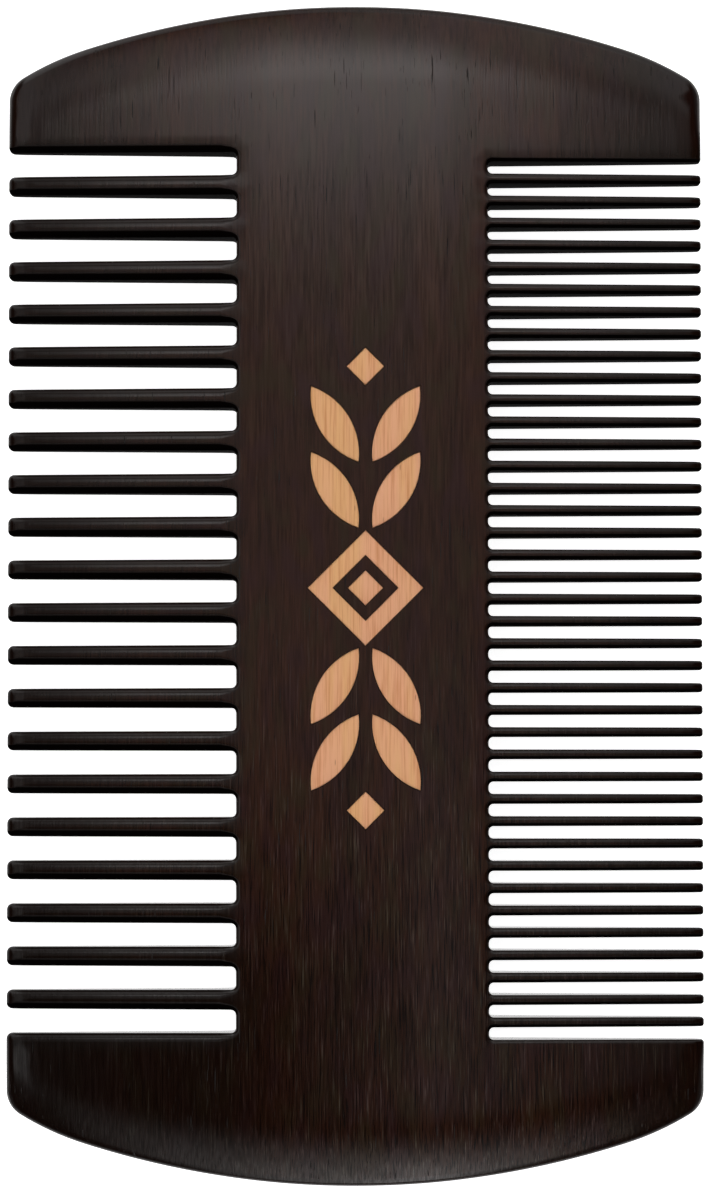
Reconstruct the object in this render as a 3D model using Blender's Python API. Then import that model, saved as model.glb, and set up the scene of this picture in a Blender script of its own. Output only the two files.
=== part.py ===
"""Double-sided wooden beard comb.

A blank of three plies is sawn into a row of coarse teeth and a row of fine ones, and both its faces
taper to the tooth tips and to the bowed ends. Pieces of pale wood are let into pockets in the front ply.

The comb lies face up. +X points to the fine teeth, +Y along the comb and +Z out of its front face.
The origin is the middle of the blank's outline, on the surface that the comb lies on.
"""

from math import acos, asin, cos, pi, radians, sin, sqrt

import bmesh
import bpy

MM = 0.001

# Blank
LENGTH = 100.0 * MM
WIDTH = 59.0 * MM
THICKNESS = 4.0 * MM

# The bowed ends: the radius tightens from the crest to the shoulders, and again round the corners
CREST_RADIUS = 77.0 * MM
SHOULDER_RADIUS = 25.0 * MM
CORNER_RADIUS = 2.4 * MM
CORNER_START = radians(31)

# Plies: a core with its grain along the teeth, between two face plies with theirs along the comb
CORE_THICKNESS = 0.8 * MM
GLUE_LINE = 0.05 * MM

# Thickness of the blank at distances from its middle line: a flat spine, a slope and a bevelled tip
COARSE_TAPER = [(6.5 * MM, THICKNESS), (28.0 * MM, 1.94 * MM), (29.5 * MM, 1.5 * MM)]
FINE_TAPER = [(6.5 * MM, THICKNESS), (28.4 * MM, 1.86 * MM), (29.5 * MM, 1.5 * MM)]

# The ends taper from here to the thickness at their crest
END_TAPER_START = 46.0 * MM
CREST_THICKNESS = 3.2 * MM

# Rows of teeth: side is the sign of X, and the slots widen from root to mouth as the teeth narrow
COARSE = {
    "side": -1,
    "slots": 21,
    "pitch": 3.636 * MM,
    "root": 10.05 * MM,
    "root_width": 1.94 * MM,
    "mouth_width": 2.03 * MM,
    "root_radius": 0.40 * MM,
    "tip_radius": 0.50 * MM,
    "middle": 0.2 * MM,
}
FINE = {
    "side": 1,
    "slots": 40,
    "pitch": 1.882 * MM,
    "root": 11.3 * MM,
    "root_width": 1.04 * MM,
    "mouth_width": 1.10 * MM,
    "root_radius": 0.38 * MM,
    "tip_radius": 0.26 * MM,
    "middle": -0.5 * MM,
}

# Inlay: a lozenge with two pairs of leaves and a small lozenge on either side of it
INLAY_CENTRE = (0.9 * MM, 0.4 * MM)
INLAY_RECESS = 0.1 * MM
INLAY_THICKNESS = 0.9 * MM
INLAY_GAP = 0.05 * MM
LOZENGE_HALF = 4.9 * MM
LOZENGE_BAND = 1.5 * MM
HEART_HALF = 1.5 * MM
END_LOZENGE_HALF = 1.6 * MM
END_LOZENGE_DISTANCE = 18.8 * MM
LEAF_LENGTH = 7.6 * MM
LEAF_WIDTH = 2.7 * MM
LEAF_TILT = radians(32)
LEAF_OFFSET = 2.6 * MM
LEAF_DISTANCES = {"inner": 8.3 * MM, "outer": 13.9 * MM}

# How finely arcs are divided, and how far a cutter runs past what it cuts
CREST_STEPS = 10
SHOULDER_STEPS = 3
CORNER_STEPS = 4
ROOT_STEPS = 2
LEAF_STEPS = 8
OVERSHOOT = 2.0 * MM

WELD_DISTANCE = 0.001 * MM
MIDDLE_Z = THICKNESS / 2

DARK_WOOD = (0.020, 0.008, 0.004)
DARK_CORE_WOOD = (0.023, 0.010, 0.005)
PALE_WOOD = (0.62, 0.34, 0.17)


def clear_scene():
    for old in list(bpy.data.objects):
        bpy.data.objects.remove(old, do_unlink=True)


def make_collection(name):
    made = bpy.data.collections.new(name)
    bpy.context.scene.collection.children.link(made)
    return made


def wood(name, colour, roughness):
    made = bpy.data.materials.new(name)
    made.use_nodes = True
    shader = made.node_tree.nodes["Principled BSDF"]
    shader.inputs["Base Color"].default_value = (*colour, 1.0)
    shader.inputs["Roughness"].default_value = roughness
    shader.inputs["Metallic"].default_value = 0.0
    return made


def arc(x, y, radius, start, end, steps):
    """Points of an arc about (x, y), both ends included."""
    angles = [start + (end - start) * i / steps for i in range(steps + 1)]
    return [(x + radius * cos(a), y + radius * sin(a)) for a in angles]


def blank_outline():
    """Bowed ends that run into the straight sides, through three arcs that meet without a kink."""
    corner_spread = (SHOULDER_RADIUS - CORNER_RADIUS) * sin(CORNER_START)
    shoulder_reach = WIDTH / 2 - CORNER_RADIUS - corner_spread
    shoulder_start = asin(shoulder_reach / (CREST_RADIUS - SHOULDER_RADIUS))
    crest_y = LENGTH / 2 - CREST_RADIUS
    shoulder_y = crest_y + (CREST_RADIUS - SHOULDER_RADIUS) * cos(shoulder_start)
    corner_x = WIDTH / 2 - CORNER_RADIUS
    corner_y = shoulder_y + (SHOULDER_RADIUS - CORNER_RADIUS) * cos(CORNER_START)
    corner_turn = pi / 2 - CORNER_START
    shoulder_turn = pi / 2 - shoulder_start
    corner = arc(corner_x, corner_y, CORNER_RADIUS, 0, corner_turn, CORNER_STEPS)
    shoulder = arc(shoulder_reach, shoulder_y, SHOULDER_RADIUS, corner_turn, shoulder_turn, SHOULDER_STEPS)
    crest = arc(0, crest_y, CREST_RADIUS, shoulder_turn, pi / 2, CREST_STEPS)
    right = corner[:-1] + shoulder[:-1] + crest
    top = right + [(-x, y) for x, y in reversed(right[:-1])]
    return top + [(-x, -y) for x, y in top]


def slot_outline(row, y):
    """One slot: round corners at its root, and a mouth whose flare rounds the tooth tips beside it."""
    tip = WIDTH / 2
    radius = row["root_radius"]
    flare = row["tip_radius"]
    half_root = row["root_width"] / 2
    half_mouth = row["mouth_width"] / 2
    root_corner = arc(row["root"] + radius, radius - half_root, radius, pi, 1.5 * pi, ROOT_STEPS)
    wall_end = (tip - flare, -half_mouth)
    knee = (tip - 0.3 * flare, -half_mouth - 0.3 * flare)
    outside = (knee[0] + OVERSHOOT, knee[1] - 0.7 * OVERSHOOT)
    lower = [*root_corner, wall_end, knee, outside]
    whole = lower + [(px, -py) for px, py in reversed(lower)]
    return [(row["side"] * px, y + py) for px, py in whole]


def slot_outlines(row):
    first = row["middle"] - (row["slots"] - 1) / 2 * row["pitch"]
    return [slot_outline(row, first + i * row["pitch"]) for i in range(row["slots"])]


def lozenge(x, y, half, grow):
    """A square on its corner, widened all round by grow."""
    reach = half + grow * sqrt(2)
    return [(x + reach, y), (x, y + reach), (x - reach, y), (x, y - reach)]


def leaf(x, y, tilt, grow):
    """Two arcs that meet in points at the leaf's ends, widened all round by grow."""
    radius = (LEAF_LENGTH**2 + LEAF_WIDTH**2) / (4 * LEAF_WIDTH)
    reach = radius - LEAF_WIDTH / 2
    spread = acos(reach / (radius + grow))
    right = arc(-reach, 0, radius + grow, -spread, spread, LEAF_STEPS)
    left = [(-px, -py) for px, py in right]
    whole = right[:-1] + left[:-1]
    return [(x + px * cos(tilt) - py * sin(tilt), y + px * sin(tilt) + py * cos(tilt)) for px, py in whole]


def inlay_outlines(grow):
    """The outlines of every inlay by its name, widened all round by grow. A second outline is a hole."""
    x, y = INLAY_CENTRE
    hole_half = LOZENGE_HALF - LOZENGE_BAND * sqrt(2)
    shapes = {
        "lozenge_frame_inlay": [lozenge(x, y, LOZENGE_HALF, grow), lozenge(x, y, hole_half, -grow)],
        "lozenge_heart_inlay": [lozenge(x, y, HEART_HALF, grow)],
    }
    for end, side in (("upper", 1), ("lower", -1)):
        end_y = y + side * END_LOZENGE_DISTANCE
        shapes[f"{end}_lozenge_inlay"] = [lozenge(x, end_y, END_LOZENGE_HALF, grow)]
        for pair, distance in LEAF_DISTANCES.items():
            for flank, turn in (("left", 1), ("right", -1)):
                leaf_x = x - turn * LEAF_OFFSET
                leaf_y = y + side * distance
                outline = leaf(leaf_x, leaf_y, side * turn * LEAF_TILT, grow)
                shapes[f"{end}_{pair}_{flank}_leaf_inlay"] = [outline]
    return shapes


def weld(mesh):
    """Close a filled curve's mesh, whose caps are loose."""
    work = bmesh.new()
    work.from_mesh(mesh)
    bmesh.ops.remove_doubles(work, verts=work.verts, dist=WELD_DISTANCE)
    bmesh.ops.recalc_face_normals(work, faces=work.faces)
    work.to_mesh(mesh)
    work.free()


def plate(name, outlines, low, high, collection):
    """A flat solid from low to high in Z, with one filled outline or more."""
    curve = bpy.data.curves.new(name, "CURVE")
    curve.dimensions = "2D"
    curve.fill_mode = "BOTH"
    curve.extrude = (high - low) / 2
    for outline in outlines:
        spline = curve.splines.new("POLY")
        spline.points.add(len(outline) - 1)
        for point, (x, y) in zip(spline.points, outline):
            point.co = (x, y, 0, 1)
        spline.use_cyclic_u = True
    flat = bpy.data.objects.new(name + "_outline", curve)
    bpy.context.scene.collection.objects.link(flat)
    evaluated = flat.evaluated_get(bpy.context.evaluated_depsgraph_get())
    mesh = bpy.data.meshes.new_from_object(evaluated)
    bpy.data.objects.remove(flat, do_unlink=True)
    weld(mesh)
    mesh.name = name
    made = bpy.data.objects.new(name, mesh)
    made.location.z = (low + high) / 2
    collection.objects.link(made)
    return made


def cutter(name, outlines, low, high, collection):
    """A plate that only cuts, and isn't part of the comb."""
    made = plate(name, outlines, low, high, collection)
    made.hide_render = True
    made.display_type = "WIRE"
    return made


def width_taper(cutters):
    """A bar along the comb with the blank's cross-section, a little wider than the blank."""
    coarse = [(-distance, thickness / 2) for distance, thickness in reversed(COARSE_TAPER)]
    fine = [(distance, thickness / 2) for distance, thickness in FINE_TAPER]
    beyond = WIDTH / 2 + OVERSHOOT
    upper = [(-beyond, coarse[0][1]), *coarse, *fine, (beyond, fine[-1][1])]
    section = upper + [(x, -z) for x, z in reversed(upper)]
    reach = LENGTH / 2 + OVERSHOOT
    bar = cutter("width_taper", [section], -reach, reach, cutters)
    bar.rotation_euler.x = pi / 2
    bar.location.z = MIDDLE_Z
    return bar


def end_taper(cutters):
    """A bar across the comb whose four sloping sides are the tapers of its ends."""
    slope = (THICKNESS - CREST_THICKNESS) / 2 / (LENGTH / 2 - END_TAPER_START)
    half_height = THICKNESS / 2 + slope * END_TAPER_START
    half_length = half_height / slope
    section = [(half_height, 0), (0, half_length), (-half_height, 0), (0, -half_length)]
    reach = WIDTH / 2 + OVERSHOOT
    bar = cutter("end_taper", [section], -reach, reach, cutters)
    bar.rotation_euler.y = pi / 2
    bar.location.z = MIDDLE_Z
    return bar


def slots(cutters):
    outlines = slot_outlines(COARSE) + slot_outlines(FINE)
    return cutter("slots", outlines, -OVERSHOOT, THICKNESS + OVERSHOOT, cutters)


def pockets(cutters):
    """What the front ply loses to the inlays, with a gap round each of them and under it."""
    outlines = [outline for shape in inlay_outlines(INLAY_GAP).values() for outline in shape]
    floor = THICKNESS - INLAY_RECESS - INLAY_THICKNESS - INLAY_GAP
    return cutter("pockets", outlines, floor, THICKNESS + OVERSHOOT, cutters)


def ply(name, low, high, colour, shaping, parts):
    """A plate with the blank's outline, shaped by each (operation, cutter) in turn."""
    made = plate(name, [blank_outline()], low, high, parts)
    made.data.materials.append(wood(name, colour, 0.45))
    for operation, tool in shaping:
        modifier = made.modifiers.new(tool.name, "BOOLEAN")
        modifier.operation = operation
        modifier.solver = "EXACT"
        modifier.object = tool
    return made


def make_plies(parts, cutters):
    """The core between its two face plies, a glue line apart."""
    core_low = MIDDLE_Z - CORE_THICKNESS / 2
    core_high = MIDDLE_Z + CORE_THICKNESS / 2
    saw = [("DIFFERENCE", slots(cutters))]
    sand = [("INTERSECT", width_taper(cutters)), ("INTERSECT", end_taper(cutters))]
    rout = [("DIFFERENCE", pockets(cutters))]
    ply("core_ply", core_low, core_high, DARK_CORE_WOOD, saw, parts)
    ply("back_face_ply", -OVERSHOOT, core_low - GLUE_LINE, DARK_WOOD, sand + saw, parts)
    front_top = THICKNESS + OVERSHOOT
    ply("front_face_ply", core_high + GLUE_LINE, front_top, DARK_WOOD, sand + saw + rout, parts)


def make_inlays(parts):
    """The pale pieces, each a little below the face."""
    top = THICKNESS - INLAY_RECESS
    for name, outlines in inlay_outlines(0).items():
        piece = plate(name, outlines, top - INLAY_THICKNESS, top, parts)
        piece.data.materials.append(wood(name, PALE_WOOD, 0.55))


def main():
    clear_scene()
    parts = make_collection("beard_comb")
    cutters = make_collection("cutters")
    make_plies(parts, cutters)
    make_inlays(parts)


main()
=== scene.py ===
"""Double-sided wooden beard comb: the visible pieces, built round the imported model.

The comb is modelled once as a whole board, with rounded teeth, roots and edges, and then parted at the
glue lines into its three plies. The pale pieces sit in pockets that are cut in the front ply.
"""

from math import acos, asin, cos, pi, radians, sin, sqrt
from types import SimpleNamespace

import bmesh
import bpy
import numpy as np
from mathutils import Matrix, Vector
from mathutils.bvhtree import BVHTree
from mathutils.geometry import delaunay_2d_cdt


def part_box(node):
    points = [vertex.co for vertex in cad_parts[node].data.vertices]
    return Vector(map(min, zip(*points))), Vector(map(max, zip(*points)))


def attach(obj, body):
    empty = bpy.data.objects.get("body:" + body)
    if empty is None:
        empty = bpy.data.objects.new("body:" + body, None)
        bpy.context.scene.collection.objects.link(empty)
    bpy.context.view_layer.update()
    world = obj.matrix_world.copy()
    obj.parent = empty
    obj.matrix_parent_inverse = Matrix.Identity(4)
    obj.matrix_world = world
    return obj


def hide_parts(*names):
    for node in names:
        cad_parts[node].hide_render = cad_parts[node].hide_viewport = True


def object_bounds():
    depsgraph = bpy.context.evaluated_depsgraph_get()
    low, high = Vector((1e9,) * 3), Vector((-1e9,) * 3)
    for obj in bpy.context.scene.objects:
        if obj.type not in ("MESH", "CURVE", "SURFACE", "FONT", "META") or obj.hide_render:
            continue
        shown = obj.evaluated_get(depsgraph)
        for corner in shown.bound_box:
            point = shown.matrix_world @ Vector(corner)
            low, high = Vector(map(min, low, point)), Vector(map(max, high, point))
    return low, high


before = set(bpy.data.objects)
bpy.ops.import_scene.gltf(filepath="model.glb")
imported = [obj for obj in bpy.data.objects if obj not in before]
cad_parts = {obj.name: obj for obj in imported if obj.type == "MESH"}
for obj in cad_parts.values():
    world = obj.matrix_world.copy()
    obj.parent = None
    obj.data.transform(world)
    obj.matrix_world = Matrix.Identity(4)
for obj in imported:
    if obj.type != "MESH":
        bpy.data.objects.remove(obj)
CAD_LOW, CAD_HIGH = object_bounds()

MM = 0.001
BODY = "root"

# The blank, and the heights of its glue lines
WIDTH = CAD_HIGH.x - CAD_LOW.x
LENGTH = CAD_HIGH.y - CAD_LOW.y
THICKNESS = CAD_HIGH.z - CAD_LOW.z
MIDDLE_Z = THICKNESS / 2
BACK_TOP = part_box("back_face_ply")[1].z
CORE_LOW, CORE_HIGH = (corner.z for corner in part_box("core_ply"))
FRONT_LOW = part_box("front_face_ply")[0].z

# The bowed ends: the radius tightens from the crest to the shoulders, and again round the corners
CREST_RADIUS = 77.0 * MM
SHOULDER_RADIUS = 25.0 * MM
CORNER_RADIUS = 2.4 * MM
CORNER_START = radians(31)

# Rows of teeth. Distances run outward from the comb's middle line, except middle, which is how far up the
# comb the row's middle lies. The taper gives half the board's thickness at distances from the middle line.
COARSE = {
    "slots": 21,
    "pitch": 3.636 * MM,
    "root": 10.05 * MM,
    "root_width": 1.94 * MM,
    "mouth_width": 2.03 * MM,
    "root_radius": 0.42 * MM,
    "tip_radius": 0.50 * MM,
    "middle": 0.2 * MM,
    "edge_reach": 0.80 * MM,
    "taper": [(6.5 * MM, 2.0 * MM), (28.0 * MM, 0.97 * MM), (36.0 * MM, 0.59 * MM)],
    "bevel_length": 1.5 * MM,
}
FINE = {
    "slots": 40,
    "pitch": 1.882 * MM,
    "root": 11.3 * MM,
    "root_width": 1.04 * MM,
    "mouth_width": 1.10 * MM,
    "root_radius": 0.40 * MM,
    "tip_radius": 0.26 * MM,
    "middle": -0.5 * MM,
    "edge_reach": 0.39 * MM,
    "taper": [(6.5 * MM, 2.0 * MM), (28.0 * MM, 0.93 * MM), (36.0 * MM, 0.53 * MM)],
    "bevel_length": 1.0 * MM,
}
TIP_BEVEL = 0.16 * MM
WIDTH_EASE = 3.0 * MM

# Rounded edges. The reach is how far in from the outline an edge is shaped. The crown falls away over the
# whole reach, to its slope at the outline, and the rounding takes a share of the reach. The rounding's depth
# is a share of its own width, or at most a share of half the thickness.
ROOT_REACH = 0.45 * MM
ROOT_EASE = 1.2 * MM
END_REACH = 0.70 * MM
BLOCK_START = 38.2 * MM
BLOCK_FULL = 40.0 * MM
CROWN_SLOPE = 0.28
ROUND_SHARE = 0.52
ROUND_DEPTH = 0.9
DEEPEST_ROUNDING = 0.6

# The ends get thinner toward the outline, over a length that is a little shorter at the comb's sides
END_TAPER_LENGTH = 5.8 * MM
END_TAPER_NARROWING = 0.15
CREST_HALF = 1.62 * MM

# The sawn part of the wood: how softly it begins before the slots' roots and ends beyond the rows
SAWN_EASE = 0.5 * MM
ROW_END_EASE = 0.6 * MM

# How finely the outlines and the board are divided. The rings inside the outline are shares of the edge's
# reach, and a ring's point stays if no wall is nearer than its clearance, a share of the ring's depth.
CORNER_STEPS = 9
SHOULDER_STEPS = 8
CREST_STEPS = 30
TIP_STEPS = 5
ROOT_STEPS = 6
LEAF_STEPS = 14
TAPER_STEP = 0.05 * MM
STATION_SPACING = 0.9 * MM
BEVEL_SPACING = 0.3 * MM
GRID_SPACING = 1.1 * MM
GRID_OFF_EDGE = 0.35 * GRID_SPACING
GRID_OFF_POCKET = 0.3 * GRID_SPACING
RINGS = (0.012, 0.045, 0.095, 0.16, 0.24, 0.34, 0.45, 0.60, 0.78, 0.94)
RING_CLEARANCE = 0.985
MERGE_DISTANCE = 0.02 * MM
PLAN_TOLERANCE = 1e-9
SECTION_TOLERANCE = 1e-10
CUT_TOLERANCE = 1e-8
SAME_HEIGHT = 1e-7
TOP_FACING = 0.9
FLAT_ANGLE = 0.01
RIM_ANGLE = 1.0
BOARD_SHARP_ANGLE = radians(42)
INLAY_SHARP_ANGLE = radians(50)

# Inlay
INLAY_GAP = 0.05 * MM
LOZENGE_BAND = 1.5 * MM
LEAF_LENGTH = 7.6 * MM
LEAF_WIDTH = 2.7 * MM
LEAF_TILT = radians(32)
INLAY_BEVEL = 0.07 * MM
INLAY_BEVEL_STEPS = 3

# Colours of the dark wood and the pale wood, with the dark wood's painted shade
DARK_BROWN = (0.012, 0.0032, 0.0010)
MID_BROWN = (0.034, 0.0095, 0.0036)
OLIVE = (0.021, 0.011, 0.003)
PURPLE = (0.022, 0.006, 0.006)
MAUVE_STREAK = (0.085, 0.048, 0.042)
KHAKI_STREAK = (0.078, 0.060, 0.040)
BLACK_STREAK = (0.002, 0.0006, 0.0004)
# Darker toward the lower end, most of all on the left
LOWER_LEFT_DARK = (0.0030, 0.0010, 0.0004)
# Painted shade: darker toward the comb's sides, where the faces slope away from the light
OUTER_SHADE = (0.0040, 0.0018, 0.0012)
DARK_PORE = (0.002, 0.0008, 0.0004)
FINE_DARK_PORE = (0.003, 0.001, 0.0005)
SAWN_WOOD = (0.0040, 0.0028, 0.0018)
# Painted shade: darker where the edges round over and turn away from the light
EDGE_SHADE = (0.005, 0.0022, 0.0016)
# Painted shade: near-black for the walls beside the slots that face down, away from the light
UNDERSIDE_SHADE = (0.0008, 0.0005, 0.0004)
PALE_YELLOW = (0.80, 0.435, 0.195)
PALE_PINK = (0.82, 0.41, 0.232)
PALE_FIBRE = (0.62, 0.24, 0.09)
PALE_PORE = (0.30, 0.10, 0.04)

# How much light the wood mirrors, how rough it is between fibres, and how deep the pores look
DARK_MIRRORING = 0.22
DARK_ROUGHNESS = (0.10, 0.15)
DARK_RELIEF = 0.005 * MM
PALE_MIRRORING = 0.2
PALE_ROUGHNESS = (0.48, 0.62)
PALE_RELIEF = 0.012 * MM

# Floor, and the light from all round: its level at the horizon and overhead
FLOOR_REACH = 4.0
FLOOR_GREYS = (0.80, 0.84)
FLOOR_MOTTLE = 400.0
FLOOR_ROUGHNESS = 0.9
FLOOR_GLOW = 0.96
HORIZON_LEVEL = 0.5
OVERHEAD_LEVEL = 0.02

# Camera: the sensor and the lens are in millimetres, and the turn is in radians
SENSOR_WIDTH = 36.0
LENS = 112.95
CAMERA_PLACE = (0.0, -12.8 * MM, 322.0 * MM)
CAMERA_TURN = (0.03825, 0.0, -0.00043)


def arc(x, y, radius, start, end, steps):
    """Points of an arc about (x, y), both ends included."""
    angles = [start + (end - start) * i / steps for i in range(steps + 1)]
    return [(x + radius * cos(a), y + radius * sin(a)) for a in angles]


def evenly(start, end, spacing):
    """Numbers from start to end, both included, about spacing apart."""
    count = max(1, round(abs(end - start) / spacing))
    return [start + (end - start) * i / count for i in range(count + 1)]


def end_quarter():
    """A quarter of the bowed outline, from where it leaves the straight side to the crest."""
    corner_spread = (SHOULDER_RADIUS - CORNER_RADIUS) * sin(CORNER_START)
    shoulder_reach = WIDTH / 2 - CORNER_RADIUS - corner_spread
    shoulder_start = asin(shoulder_reach / (CREST_RADIUS - SHOULDER_RADIUS))
    crest_y = LENGTH / 2 - CREST_RADIUS
    shoulder_y = crest_y + (CREST_RADIUS - SHOULDER_RADIUS) * cos(shoulder_start)
    corner_y = shoulder_y + (SHOULDER_RADIUS - CORNER_RADIUS) * cos(CORNER_START)
    corner_turn = pi / 2 - CORNER_START
    shoulder_turn = pi / 2 - shoulder_start
    corner = arc(WIDTH / 2 - CORNER_RADIUS, corner_y, CORNER_RADIUS, 0, corner_turn, CORNER_STEPS)
    shoulder = arc(shoulder_reach, shoulder_y, SHOULDER_RADIUS, corner_turn, shoulder_turn, SHOULDER_STEPS)
    crest = arc(0, crest_y, CREST_RADIUS, shoulder_turn, pi / 2, CREST_STEPS)
    return corner[:-1] + shoulder[:-1] + crest


def slot_half_width(row, u):
    """Half a slot's width at the distance u from the middle line."""
    run = (u - row["root"]) / (WIDTH / 2 - row["root"])
    return (row["root_width"] + (row["mouth_width"] - row["root_width"]) * run) / 2


def lower_wall(row):
    """Half of a slot's outline about its own middle, from the tooth tip below it in to the root."""
    tip_radius = row["tip_radius"]
    root_radius = row["root_radius"]
    tip = WIDTH / 2
    wall_start = tip - tip_radius
    wall_end = row["root"] + root_radius
    corner_y = -slot_half_width(row, wall_start) - tip_radius
    tip_corner = arc(wall_start, corner_y, tip_radius, 0, pi / 2, TIP_STEPS)
    bevel_start = tip - row["bevel_length"]
    stations = evenly(wall_start, bevel_start, BEVEL_SPACING)[1:]
    stations += evenly(bevel_start, wall_end, STATION_SPACING)[1:-1]
    wall = [(u, -slot_half_width(row, u)) for u in stations]
    root_y = root_radius - slot_half_width(row, wall_end)
    root_corner = arc(wall_end, root_y, root_radius, 1.5 * pi, pi, ROOT_STEPS)
    return tip_corner + wall + root_corner


def row_outline(row, side_y):
    """The toothed side of the blank as if it faced +X, going up from -side_y to side_y."""
    first = row["middle"] - (row["slots"] - 1) / 2 * row["pitch"]
    lower = lower_wall(row)
    slot = lower + [(u, -y) for u, y in reversed(lower)]
    points = [(WIDTH / 2, y) for y in evenly(-side_y, first + lower[0][1], STATION_SPACING)[:-1]]
    for i in range(row["slots"]):
        points += [(u, first + i * row["pitch"] + y) for u, y in slot]
    return points + [(WIDTH / 2, y) for y in evenly(points[-1][1], side_y, STATION_SPACING)[1:]]


def board_outline():
    """The whole sawn outline, anticlockwise."""
    quarter = end_quarter()
    side_y = quarter[0][1]
    right = row_outline(FINE, side_y)
    left = [(-x, y) for x, y in reversed(row_outline(COARSE, side_y))]
    top = quarter[1:] + [(-x, y) for x, y in reversed(quarter[1:-1])]
    bottom = [(-x, -y) for x, y in top]
    return np.array(right + top + left + bottom)


def eased(x, low, high):
    """0 below low, 1 above high, and a smooth step between them."""
    t = np.clip((x - low) / (high - low), 0, 1)
    return t * t * (3 - 2 * t)


def softened(distances, halves, reach, spread):
    """A function of distance that follows the polyline with its corners eased over spread."""
    x = np.arange(-reach - 4 * spread, reach + 4 * spread, TAPER_STEP)
    y = np.interp(np.abs(x), distances, halves)
    kernel = np.hanning(int(2 * spread / TAPER_STEP) | 1)
    y = np.convolve(y, kernel / kernel.sum(), "same")
    return lambda values: np.interp(values, x, y)


COARSE_HALF = softened(*zip(*COARSE["taper"]), WIDTH / 2, WIDTH_EASE)
FINE_HALF = softened(*zip(*FINE["taper"]), WIDTH / 2, WIDTH_EASE)


def by_side(x, coarse, fine):
    """The coarse teeth's value left of the middle line and the fine teeth's right of it."""
    return np.where(x < 0, coarse, fine)


def half_thickness(x, y):
    """Half the board's thickness before its edges are rounded."""
    u = np.abs(x)
    across = by_side(x, COARSE_HALF(u), FINE_HALF(u))
    bevel_start = WIDTH / 2 - by_side(x, COARSE["bevel_length"], FINE["bevel_length"])
    across = across - TIP_BEVEL * eased(u, bevel_start, WIDTH / 2)
    quarter = np.array(end_quarter())[::-1]
    below_crest = np.interp(u, quarter[:, 0], quarter[:, 1]) - np.abs(y)
    length = END_TAPER_LENGTH * (1 - END_TAPER_NARROWING * (2 * u / WIDTH) ** 2)
    return across - (MIDDLE_Z - CREST_HALF) * np.clip(1 - below_crest / length, 0, 1) ** 2


def edge_reach(x, y):
    """How far in from the outline the edge is shaped: its own value at roots, on teeth and on the blocks."""
    u = np.abs(x)
    root = by_side(x, COARSE["root"], FINE["root"])
    tooth = by_side(x, COARSE["edge_reach"], FINE["edge_reach"])
    reach = ROOT_REACH + (tooth - ROOT_REACH) * eased(u, root, root + ROOT_EASE)
    block = eased(np.abs(y), BLOCK_START, BLOCK_FULL)
    return reach + (END_REACH - reach) * block


class Walls:
    """Measures how far points are from outlines."""

    def __init__(self, *loops):
        corners, quads = [], []
        for loop in loops:
            base, count = len(corners), len(loop)
            corners += [(x, y, -MM) for x, y in loop] + [(x, y, MM) for x, y in loop]
            quads += [
                (base + i, base + (i + 1) % count, base + count + (i + 1) % count, base + count + i)
                for i in range(count)
            ]
        self.tree = BVHTree.FromPolygons(corners, quads)

    def distance(self, points):
        return np.array([self.tree.find_nearest((x, y, 0.0))[3] for x, y in points])


def inward(loop):
    """The unit normal into the board at each point of an anticlockwise outline."""
    ahead = np.roll(loop, -1, axis=0) - loop
    ahead /= np.linalg.norm(ahead, axis=1)[:, None]
    along = ahead + np.roll(ahead, 1, axis=0)
    along /= np.linalg.norm(along, axis=1)[:, None]
    return np.stack([-along[:, 1], along[:, 0]], axis=1)


def inside(points, loop):
    """Which points lie inside an outline, by counting how often a ray to +X crosses it."""
    x, y = points[:, 0], points[:, 1]
    crossings = np.zeros(len(points), dtype=bool)
    for (ax, ay), (bx, by) in zip(loop, np.roll(loop, -1, axis=0)):
        if ay == by:
            continue
        spans = (ay > y) != (by > y)
        crossings ^= spans & (x < ax + (y - ay) * (bx - ax) / (by - ay))
    return crossings


def thinned(points, spacing):
    """The points without those that fall within spacing of an earlier one."""
    taken, kept = {}, []
    for point in points:
        cell = (int(point[0] // spacing), int(point[1] // spacing))
        near = [taken.get((cell[0] + i, cell[1] + j)) for i in (-1, 0, 1) for j in (-1, 0, 1)]
        if all(other is None or np.hypot(*(point - other)) >= spacing for other in near):
            taken[cell] = point
            kept.append(point)
    return np.array(kept)


def loop_edges(count, base=0):
    """The edges of a closed loop of points, numbered from base."""
    return [(base + i, base + (i + 1) % count) for i in range(count)]


def board_plan(outline, pockets):
    """Points and triangles of the board seen from above, dense where its edges round over."""
    walls = Walls(outline)
    normals = inward(outline)
    inner = []
    for ring in RINGS:
        depth = ring * edge_reach(outline[:, 0], outline[:, 1])
        points = outline + normals * depth[:, None]
        clear = walls.distance(points) > RING_CLEARANCE * depth
        inner.append(points[clear])
    inner = thinned(np.concatenate(inner), MERGE_DISTANCE)
    xs = evenly(-WIDTH / 2, WIDTH / 2, GRID_SPACING)
    ys = evenly(-LENGTH / 2, LENGTH / 2, GRID_SPACING)
    grid = np.array([(x, y) for x in xs for y in ys])
    grid = grid[inside(grid, outline)]
    grid = grid[walls.distance(grid) > edge_reach(grid[:, 0], grid[:, 1]) + GRID_OFF_EDGE]
    grid = grid[Walls(*pockets).distance(grid) > GRID_OFF_POCKET]
    loops = [outline, *pockets]
    points = np.concatenate([*loops, inner, grid])
    edges = []
    for loop in loops:
        edges += loop_edges(len(loop), len(edges))
    plan = delaunay_2d_cdt([Vector(p) for p in points.tolist()], edges, [], 1, PLAN_TOLERANCE)
    return np.array([tuple(v) for v in plan[0]]), plan[2]


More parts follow.
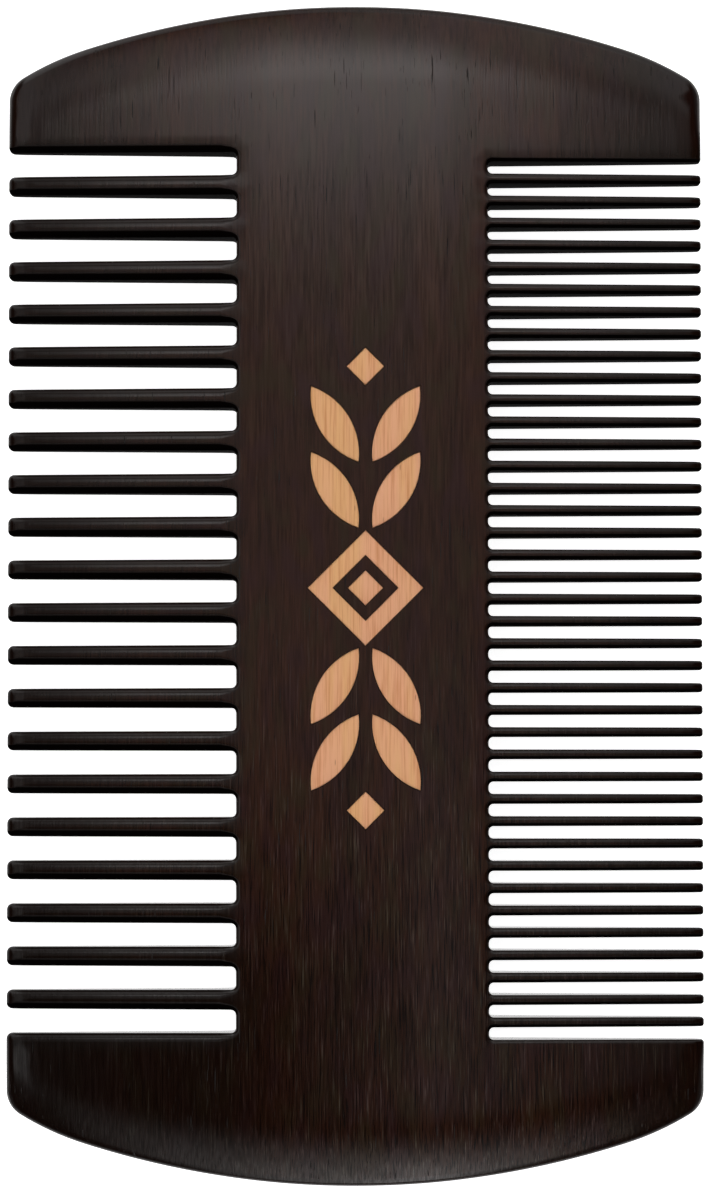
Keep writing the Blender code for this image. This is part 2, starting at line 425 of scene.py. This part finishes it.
def rounded_top(points, outline):
    """Height of the front face over the middle plane, and how near each point is to the edge, from 0 to 1."""
    x, y = points[:, 0], points[:, 1]
    reach = edge_reach(x, y)
    distance = Walls(outline).distance(points)
    nearness = np.clip(1 - distance / reach, 0, 1)
    half = half_thickness(x, y)
    crown = CROWN_SLOPE / 2 * reach * nearness**2
    width = ROUND_SHARE * reach
    depth = np.minimum(ROUND_DEPTH * width, DEEPEST_ROUNDING * half)
    left = 1 - np.clip(distance / width, 0, 1)
    rounding = depth * (1 - np.sqrt(np.clip(1 - left**2, 0, 1)))
    return half - crown - rounding, nearness


def slot_nearness(points):
    """1 on the teeth and beside the slots, 0 on the spine and the blocks."""
    u, v = np.abs(points).T
    x = points[:, 0]
    row_end = by_side(x, COARSE["slots"] * COARSE["pitch"], FINE["slots"] * FINE["pitch"]) / 2
    root = by_side(x, COARSE["root"], FINE["root"])
    return eased(u, root - SAWN_EASE, root) * (1 - eased(v, row_end, row_end + ROW_END_EASE))


def close_cut(work, height, upward):
    """Fill the open section at a height, which has outlines and no holes."""
    open_edges = [e for e in work.edges if e.is_boundary]
    rim = [e for e in open_edges if all(abs(v.co.z - height) < SAME_HEIGHT for v in e.verts)]
    corners = list(dict.fromkeys(v for e in rim for v in e.verts))
    index = {v: i for i, v in enumerate(corners)}
    edges = [tuple(index[v] for v in e.verts) for e in rim]
    flat = delaunay_2d_cdt([v.co.xy for v in corners], edges, [], 1, SECTION_TOLERANCE)
    merged = [corners[source[0]] for source in flat[3]]
    for a, b, c in flat[2]:
        triangle = (merged[a], merged[b], merged[c])
        if len(set(triangle)) == 3:
            work.faces.new(triangle if upward else tuple(reversed(triangle)))


def ply_mesh(name, board, low, high):
    """The part of the board between two heights."""
    work = bmesh.new()
    work.from_mesh(board)
    for height, upward in ((low, False), (high, True)):
        if height is None:
            continue
        bmesh.ops.bisect_plane(
            work,
            geom=work.verts[:] + work.edges[:] + work.faces[:],
            dist=CUT_TOLERANCE,
            plane_co=(0, 0, height),
            plane_no=(0, 0, 1),
            clear_inner=not upward,
            clear_outer=upward,
        )
        close_cut(work, height, upward)
    mesh = bpy.data.meshes.new(name)
    work.to_mesh(mesh)
    work.free()
    return mesh


def finish_shading(mesh, sharp_angle):
    """Smooth shading, but for the edges that turn by more than an angle."""
    for face in mesh.polygons:
        face.use_smooth = True
    mesh.set_sharp_from_angle(angle=sharp_angle)


def lozenge(node, grow=0.0, inset=0.0):
    """A square on its corner, that fills its node's box, widened by grow and narrowed by inset all round."""
    low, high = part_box(node)
    x, y = (low.x + high.x) / 2, (low.y + high.y) / 2
    reach = (high.x - low.x) / 2 + (grow - inset) * sqrt(2)
    return np.array([(x + reach, y), (x, y + reach), (x - reach, y), (x, y - reach)])


def leaf(node, grow=0.0):
    """Two arcs that meet in points at the leaf's ends, widened all round by grow."""
    low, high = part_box(node)
    x, y = (low.x + high.x) / 2, (low.y + high.y) / 2
    tilt = LEAF_TILT * (1 if "upper" in node else -1) * (1 if "left" in node else -1)
    radius = (LEAF_LENGTH**2 + LEAF_WIDTH**2) / (4 * LEAF_WIDTH)
    reach = radius - LEAF_WIDTH / 2
    spread = acos(reach / (radius + grow))
    right = arc(-reach, 0, radius + grow, -spread, spread, LEAF_STEPS)
    left = [(-px, -py) for px, py in right]
    turned = [
        (x + px * cos(tilt) - py * sin(tilt), y + px * sin(tilt) + py * cos(tilt))
        for px, py in right[:-1] + left[:-1]
    ]
    return np.array(turned)


def inlay_loops(node, grow):
    """The outlines of one inlay, widened by grow. The second one, if there is one, is its hole."""
    if "leaf" in node:
        return [leaf(node, grow)]
    if "frame" in node:
        return [lozenge(node, grow), lozenge(node, -grow, LOZENGE_BAND)]
    return [lozenge(node, grow)]


def add_piece(name, mesh, material):
    """Put a piece in the scene in place of the CAD node of nearly the same name."""
    piece = bpy.data.objects.new(name, mesh)
    bpy.context.scene.collection.objects.link(piece)
    mesh.materials.append(material)
    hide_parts(name.removeprefix("shaped_"))
    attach(piece, BODY)


def board_mesh(points, triangles, heights, **measures):
    """The whole board as a closed mesh, its back the mirror image of its front, with a value of each
    measure at every point."""
    count = len(points)
    front = np.column_stack([points, MIDDLE_Z + heights])
    back = np.column_stack([points, MIDDLE_Z - heights])
    faces = [tuple(t) for t in triangles]
    edges = dict.fromkeys(edge for a, b, c in faces for edge in ((a, b), (b, c), (c, a)))
    rim = [(a, b) for a, b in edges if (b, a) not in edges]
    walls = [(b, a, a + count, b + count) for a, b in rim]
    backs = [(c + count, b + count, a + count) for a, b, c in faces]
    mesh = bpy.data.meshes.new("board")
    mesh.from_pydata(np.concatenate([front, back]).tolist(), [], faces + walls + backs)
    for name, values in measures.items():
        attribute = mesh.attributes.new(name, "FLOAT", "POINT")
        attribute.data.foreach_set("value", np.concatenate([values, values]).astype(np.float32))
    return mesh


def lower_corners(made, height):
    """Move the corners among newly extruded parts to a height."""
    for part in made:
        if isinstance(part, bmesh.types.BMVert):
            part.co.z = height


def cut_pockets(mesh, pockets, floor):
    """Sink a pocket with vertical walls inside each set of outlines in the front face."""
    work = bmesh.new()
    work.from_mesh(mesh)
    tops = [f for f in work.faces if f.normal.z > TOP_FACING]
    centres = np.array([f.calc_center_median().xy for f in tops])
    sunk = np.zeros(len(tops), dtype=bool)
    for loops in pockets:
        within = inside(centres, loops[0])
        for hole in loops[1:]:
            within &= ~inside(centres, hole)
        sunk |= within
    chosen = [f for f, s in zip(tops, sunk) if s]
    lower_corners(bmesh.ops.extrude_face_region(work, geom=chosen)["geom"], floor)
    bmesh.ops.delete(work, geom=chosen, context="FACES")
    bmesh.ops.recalc_face_normals(work, faces=work.faces)
    work.to_mesh(mesh)
    work.free()


def inlay_mesh(name, node):
    """A pale piece that fills its node's box, with its upper edges eased."""
    low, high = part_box(node)
    loops = inlay_loops(node, 0.0)
    edges, points = [], []
    for loop in loops:
        edges += loop_edges(len(loop), len(points))
        points += loop.tolist()
    work = bmesh.new()
    plan = delaunay_2d_cdt([Vector(p) for p in points], edges, [], 1, PLAN_TOLERANCE)
    corners = [work.verts.new((v.x, v.y, high.z)) for v in plan[0]]
    for triangle in plan[2]:
        centre = sum((plan[0][i] for i in triangle), Vector((0, 0))) / 3
        if len(loops) == 1 or not inside(np.array([centre]), loops[1])[0]:
            work.faces.new([corners[i] for i in triangle])
    bmesh.ops.dissolve_limit(work, angle_limit=FLAT_ANGLE, verts=work.verts, edges=work.edges)
    made = bmesh.ops.extrude_face_region(work, geom=work.faces[:], use_keep_orig=True)["geom"]
    lower_corners(made, low.z)
    bmesh.ops.recalc_face_normals(work, faces=work.faces)
    upper = [e for e in work.edges if all(v.co.z > high.z - SAME_HEIGHT for v in e.verts)]
    rim = [e for e in upper if e.calc_face_angle(0) > RIM_ANGLE]
    bmesh.ops.bevel(
        work,
        geom=rim,
        offset=INLAY_BEVEL,
        segments=INLAY_BEVEL_STEPS,
        profile=0.5,
        affect="EDGES",
    )
    mesh = bpy.data.meshes.new(name)
    work.to_mesh(mesh)
    work.free()
    finish_shading(mesh, INLAY_SHARP_ANGLE)
    return mesh


class Nodes:
    """Short calls for building a material's node tree."""

    def __init__(self, name):
        self.material = bpy.data.materials.new(name)
        self.material.use_nodes = True
        self.tree = self.material.node_tree
        self.shader = self.tree.nodes["Principled BSDF"]

    def add(self, kind, inputs=None, **settings):
        """A new node, with values or links for its inputs."""
        node = self.tree.nodes.new(kind)
        for key, value in settings.items():
            setattr(node, key, value)
        for key, value in (inputs or {}).items():
            self.feed(node.inputs[key], value)
        return node

    def feed(self, socket, value):
        """Link a socket to another, or set its value."""
        if isinstance(value, bpy.types.NodeSocket):
            self.tree.links.new(value, socket)
        else:
            socket.default_value = value

    def math(self, operation, a, b=0.0):
        return self.add("ShaderNodeMath", {0: a, 1: b}, operation=operation).outputs[0]

    def times(self, a, b):
        return self.math("MULTIPLY", a, b)

    def stretched(self, x, y, z):
        """Object coordinates counted in features of this many millimetres each way."""
        place = self.add("ShaderNodeTexCoord").outputs["Object"]
        scale = (1 / (x * MM), 1 / (y * MM), 1 / (z * MM))
        return self.add("ShaderNodeVectorMath", {0: place, 1: scale}, operation="MULTIPLY").outputs[0]

    def noise(self, size, detail=2.0, roughness=0.5, distortion=0.0):
        inputs = {
            "Vector": self.stretched(*size),
            "Scale": 1.0,
            "Detail": detail,
            "Roughness": roughness,
            "Distortion": distortion,
        }
        return self.add("ShaderNodeTexNoise", inputs).outputs["Fac"]

    def remap(self, value, low, high, to_low=0.0, to_high=1.0):
        """A smooth step from to_low to to_high as the value goes from low to high."""
        inputs = {0: value, 1: low, 2: high, 3: to_low, 4: to_high}
        return self.add("ShaderNodeMapRange", inputs, interpolation_type="SMOOTHSTEP").outputs[0]

    def blend(self, factor, a, b):
        """A colour between a and b."""
        node = self.add("ShaderNodeMix", data_type="RGBA")
        self.feed(node.inputs[0], factor)
        for socket, value in ((node.inputs[6], a), (node.inputs[7], b)):
            self.feed(socket, (*value, 1.0) if isinstance(value, tuple) else value)
        return node.outputs[2]

    def coats(self, colour, *layers):
        """The colour under layers, each of them a mask, a strength and a colour of its own."""
        for mask, strength, coat in layers:
            colour = self.blend(self.times(mask, strength), colour, coat)
        return colour

    def attribute(self, name):
        """A measure that the mesh carries at its points."""
        return self.add("ShaderNodeAttribute", attribute_name=name).outputs["Fac"]

    def dashes(self, cell, size, share):
        """Scattered short strokes: one in each cell of a stretched pattern, of which a share is kept."""
        pattern = self.add("ShaderNodeTexVoronoi", {"Vector": self.stretched(*cell), "Scale": 1.0})
        chance = self.add("ShaderNodeSeparateColor", {0: pattern.outputs["Color"]}).outputs[0]
        kept = self.math("LESS_THAN", chance, share)
        stroke = self.remap(pattern.outputs["Distance"], size, 0.45 * size)
        return self.times(stroke, kept)

    def cracks(self, size, clusters, limit):
        """Short broken lines, closer together where clusters is high."""
        lines = self.math("ADD", self.noise(size, detail=1.0), self.times(clusters, 0.25))
        return self.remap(lines, limit, limit + 0.04)

    def finish(self, colour, roughness, height, depth):
        """The material, with a height from 0 to 1 that makes a relief of this depth."""
        bump = self.add("ShaderNodeBump", {"Strength": 1.0, "Distance": depth, "Height": height})
        self.feed(self.shader.inputs["Base Color"], colour)
        self.feed(self.shader.inputs["Roughness"], roughness)
        self.feed(self.shader.inputs["Normal"], bump.outputs[0])
        return self.material


def dark_grain(nodes, along_x):
    """Patterns of the dark wood, stretched along Y, or along X in the core."""

    def size(across, along):
        return (along, across, across) if along_x else (across, along, across)

    clusters = nodes.noise(size(4.0, 12.0), detail=1.0)
    return SimpleNamespace(
        bands=nodes.noise(size(3.2, 60.0), detail=3.0, roughness=0.55, distortion=0.3),
        fibres=nodes.noise(size(0.16, 4.0), detail=3.0, roughness=0.6),
        streaks=nodes.noise(size(0.11, 3.4), detail=2.0, roughness=0.6),
        hue=nodes.noise(size(2.0, 5.0), detail=1.0),
        pores=nodes.cracks(size(0.15, 3.6), clusters, 0.86),
        fine_pores=nodes.cracks(size(0.10, 2.2), clusters, 0.84),
    )


def dark_zones(nodes):
    """Masks for parts of the comb, by place in millimetres, by measures on the mesh and by facing."""
    place = nodes.add("ShaderNodeSeparateXYZ", {0: nodes.stretched(1, 1, 1)}).outputs
    normal = nodes.add("ShaderNodeNewGeometry").outputs["Normal"]
    facing = nodes.add("ShaderNodeSeparateXYZ", {0: normal}).outputs["Y"]
    sawn = nodes.attribute("beside_slots")
    return SimpleNamespace(
        lower=nodes.remap(place["Y"], 12.0, -34.0),
        lowest=nodes.remap(place["Y"], -16.0, -38.0),
        left=nodes.remap(place["X"], 4.0, -16.0),
        outer=nodes.remap(nodes.math("ABSOLUTE", place["X"]), 16.0, 27.0),
        edge=nodes.remap(nodes.attribute("edge_nearness"), 0.0, 0.4),
        sawn=sawn,
        # Painted shade on the walls beside the slots that face down, toward -Y, away from the light
        underside_shade=nodes.times(nodes.remap(facing, -0.02, -0.14), sawn),
    )


def dark_colour(nodes, grain, zones):
    """Brown with patches of olive and purple, streaked toward the lower end, and darker in its zones: painted
    shade toward the sides, along the rounded edges and on the teeth's downward-facing walls.
    """
    tone = nodes.math("ADD", nodes.times(grain.fibres, 0.6), nodes.times(grain.bands, 0.4))
    base = nodes.blend(nodes.remap(tone, 0.32, 0.68), DARK_BROWN, MID_BROWN)
    light_streaks = nodes.times(nodes.remap(grain.streaks, 0.56, 0.80), zones.lower)
    dark_streaks = nodes.times(nodes.remap(grain.streaks, 0.48, 0.32), zones.lower)
    streak_colour = nodes.blend(nodes.remap(grain.hue, 0.4, 0.6), MAUVE_STREAK, KHAKI_STREAK)
    # darker toward the lower end, most of all on the left
    lower_left_dark = nodes.times(zones.lowest, nodes.math("ADD", nodes.times(zones.left, 0.55), 0.25))
    return nodes.coats(
        base,
        (nodes.remap(grain.hue, 0.50, 0.70), 0.6, OLIVE),
        (nodes.remap(grain.hue, 0.50, 0.30), 0.6, PURPLE),
        (light_streaks, 0.9, streak_colour),
        (dark_streaks, 0.9, BLACK_STREAK),
        (lower_left_dark, 1.0, LOWER_LEFT_DARK),
        # painted shade toward the sides
        (zones.outer, 0.7, OUTER_SHADE),
        (grain.pores, 0.95, DARK_PORE),
        (grain.fine_pores, 0.5, FINE_DARK_PORE),
        (zones.sawn, 0.45, SAWN_WOOD),
        # painted shade along the rounded edges
        (zones.edge, 0.6, EDGE_SHADE),
        # painted shade on the teeth's downward-facing walls
        (zones.underside_shade, 0.95, UNDERSIDE_SHADE),
    )


def dark_mirroring(nodes, grain, zones):
    """Streaky at the lower end, weaker on the teeth's tips and all but gone on their lower walls."""
    even = nodes.remap(grain.fibres, 0.3, 0.7, 0.92, 1.08)
    streaked = nodes.remap(grain.streaks, 0.3, 0.7, 0.7, 1.3)
    tips = nodes.times(nodes.times(zones.outer, zones.sawn), 0.45)
    dull = nodes.math("MAXIMUM", tips, nodes.times(zones.underside_shade, 0.93))
    streaky = nodes.blend(zones.lower, even, streaked)
    return nodes.times(streaky, nodes.remap(dull, 0.0, 1.0, DARK_MIRRORING, 0.0))


def dark_wood(name, along_x=False):
    """Oiled near-black hardwood, with its grain along Y, or along X in the core."""
    nodes = Nodes(name)
    grain = dark_grain(nodes, along_x)
    zones = dark_zones(nodes)
    nodes.feed(nodes.shader.inputs["Specular IOR Level"], dark_mirroring(nodes, grain, zones))
    polish = nodes.remap(grain.fibres, 0.25, 0.75, *DARK_ROUGHNESS)
    roughness = nodes.math("ADD", polish, nodes.times(grain.pores, 0.35))
    roughness = nodes.math("ADD", roughness, nodes.times(zones.underside_shade, 0.5))
    pits = nodes.math("ADD", grain.pores, nodes.times(grain.fine_pores, 0.5))
    relief = nodes.math("SUBTRACT", nodes.times(grain.fibres, 0.4), pits)
    return nodes.finish(dark_colour(nodes, grain, zones), roughness, relief, DARK_RELIEF)


def pale_wood(name):
    """Bare pale hardwood, streaked along Y."""
    nodes = Nodes(name)
    bands = nodes.noise((1.5, 30.0, 1.5), detail=2.0)
    fibres = nodes.noise((0.17, 6.0, 0.17), detail=3.0, roughness=0.6)
    pores = nodes.dashes((0.34, 2.4, 0.34), 0.15, 0.32)
    colour = nodes.coats(
        nodes.blend(nodes.remap(bands, 0.35, 0.65), PALE_YELLOW, PALE_PINK),
        (nodes.remap(fibres, 0.42, 0.72), 0.75, PALE_FIBRE),
        (pores, 0.65, PALE_PORE),
    )
    roughness = nodes.remap(fibres, 0.25, 0.75, *PALE_ROUGHNESS)
    relief = nodes.math("SUBTRACT", nodes.times(fibres, 0.5), pores)
    nodes.feed(nodes.shader.inputs["Specular IOR Level"], PALE_MIRRORING)
    return nodes.finish(colour, roughness, relief, PALE_RELIEF)


def make_comb():
    """The three plies, parted from one board, and the inlays in the front ply's pockets."""
    front_wood = dark_wood("front_ply_dark_wood")
    core_wood = dark_wood("core_ply_dark_wood", along_x=True)
    back_wood = dark_wood("back_ply_dark_wood")
    light_wood = pale_wood("inlay_pale_wood")
    inlays = sorted(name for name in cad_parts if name.endswith("_inlay"))
    pockets = [inlay_loops(name, INLAY_GAP) for name in inlays]
    outline = board_outline()
    points, triangles = board_plan(outline, [loop for loops in pockets for loop in loops])
    heights, edge = rounded_top(points, outline)
    board = board_mesh(
        points, triangles, heights, edge_nearness=edge, beside_slots=slot_nearness(points)
    )
    plies = (
        ("front_face_ply", FRONT_LOW, None, "front_ply_wood", front_wood),
        ("core_ply", CORE_LOW, CORE_HIGH, "core_ply_wood", core_wood),
        ("back_face_ply", None, BACK_TOP, "back_ply_wood", back_wood),
    )
    for node, low, high, slot, material in plies:
        mesh = ply_mesh("shaped_" + node, board, low, high)
        if node == "front_face_ply":
            cut_pockets(mesh, pockets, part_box(inlays[0])[0].z - INLAY_GAP)
        finish_shading(mesh, BOARD_SHARP_ANGLE)
        add_piece("shaped_" + node, mesh, material)
    bpy.data.meshes.remove(board)
    for node in inlays:
        add_piece("shaped_" + node, inlay_mesh("shaped_" + node, node), light_wood)


def make_floor():
    """A pale floor that glows, as a lit sweep does behind a product."""
    mesh = bpy.data.meshes.new("pale_floor")
    corners = [(x * FLOOR_REACH, y * FLOOR_REACH, 0) for x, y in ((-1, -1), (1, -1), (1, 1), (-1, 1))]
    mesh.from_pydata(corners, [], [(0, 1, 2, 3)])
    floor = bpy.data.objects.new("pale_floor", mesh)
    bpy.context.scene.collection.objects.link(floor)
    nodes = Nodes("pale_floor")
    shade = nodes.noise((FLOOR_MOTTLE, FLOOR_MOTTLE, FLOOR_MOTTLE), detail=2.0)
    darker, lighter = ((grey, grey, grey) for grey in FLOOR_GREYS)
    looks = {
        "Base Color": nodes.blend(nodes.remap(shade, 0.3, 0.7), darker, lighter),
        "Roughness": FLOOR_ROUGHNESS,
        "Specular IOR Level": 0.0,
        "Emission Color": (1, 1, 1, 1),
        "Emission Strength": FLOOR_GLOW,
    }
    for name, value in looks.items():
        nodes.feed(nodes.shader.inputs[name], value)
    mesh.materials.append(nodes.material)


class Studio:
    """Builds the world's light as soft patches by direction, which reach the comb from infinitely far."""

    def __init__(self):
        world = bpy.data.worlds.new("studio")
        bpy.context.scene.world = world
        world.use_nodes = True
        self.tree = world.node_tree
        self.background = self.tree.nodes["Background"]
        place = self.tree.nodes.new("ShaderNodeTexCoord").outputs["Generated"]
        split = self.tree.nodes.new("ShaderNodeSeparateXYZ")
        self.tree.links.new(place, split.inputs[0])
        self.axes = dict(zip("xyz", split.outputs))

    def math(self, operation, a, b):
        node = self.tree.nodes.new("ShaderNodeMath")
        node.operation = operation
        for socket, value in zip(node.inputs, (a, b)):
            if isinstance(value, bpy.types.NodeSocket):
                self.tree.links.new(value, socket)
            else:
                socket.default_value = value
        return node.outputs[0]

    def rise(self, axis, low, high, low_value=0.0, high_value=1.0):
        """A smooth change between two angles from overhead toward an axis, in degrees."""
        node = self.tree.nodes.new("ShaderNodeMapRange")
        node.interpolation_type = "SMOOTHSTEP"
        self.tree.links.new(self.axes[axis], node.inputs[0])
        limits = (sin(radians(low)), sin(radians(high)), low_value, high_value)
        for socket, value in zip(node.inputs[1:5], limits):
            socket.default_value = value
        return node.outputs[0]

    def window(self, axis, start, full, fade, end):
        """1 from full to fade, and 0 before start and after end."""
        return self.math("MULTIPLY", self.rise(axis, start, full), self.rise(axis, fade, end, 1.0, 0.0))

    def patch(self, radiance, across, along):
        """A soft patch of light by its windows toward +X and +Y."""
        shape = self.math("MULTIPLY", self.window("x", *across), self.window("y", *along))
        return self.math("MULTIPLY", shape, radiance)

    def light(self, levels):
        """Light the scene by the sum of the levels, in white."""
        total = levels[0]
        for level in levels[1:]:
            total = self.math("ADD", total, level)
        self.tree.links.new(total, self.background.inputs["Strength"])
        self.background.inputs["Color"].default_value = (1.0, 1.0, 1.0, 1.0)


def make_lights():
    """The studio's light. Each patch has its radiance, and the degrees from overhead toward +X and toward
    +Y at which it starts, is full, begins to fade and ends."""
    patches = {
        "key": (4.8, (-10.0, -7.0, 6.6, 9.6), (8.2, 10.4, 10.6, 21)),
        "upper left of the key": (1.4, (-18, -10, -1, 1), (13, 18, 20, 30)),
        "upper right of the key": (1.4, (-1, 1, 18, 30), (13, 21, 28, 40)),
        "overhead at the right": (0.55, (-1, 2, 16, 30), (-1, 4, 12, 20)),
        "low overhead at the right": (0.58, (-1, 2, 7.5, 11.5), (-8, -5.5, -1, 4)),
        "overhead at the left": (0.55, (-22, -12, -1, 2), (-3.5, 1, 12, 20)),
        "low": (2.2, (-15, -7, 7, 12), (-70, -55, -22, -9)),
        "low at the right": (2.5, (-1, 1.5, 9, 15), (-70, -55, -25, -12)),
        "far wall": (1.4, (-50, -25, 25, 50), (25, 38, 60, 80)),
        "left wall": (1.15, (-38, -30, -18, -13), (-16, -8, 60, 80)),
    }
    studio = Studio()
    levels = [studio.patch(*patch) for patch in patches.values()]
    around = studio.rise("z", 0, 45, HORIZON_LEVEL, OVERHEAD_LEVEL)
    studio.light([*levels, around])


def make_camera():
    """Looks down on the comb, a little toward its upper end, from a third of a metre."""
    data = bpy.data.cameras.new("camera")
    data.sensor_width = SENSOR_WIDTH
    data.lens = LENS
    camera = bpy.data.objects.new("camera", data)
    camera.location = CAMERA_PLACE
    camera.rotation_euler = CAMERA_TURN
    bpy.context.scene.collection.objects.link(camera)
    bpy.context.scene.camera = camera


make_camera()
make_comb()
make_floor()
make_lights()
bpy.context.scene.view_settings.view_transform = "Standard"
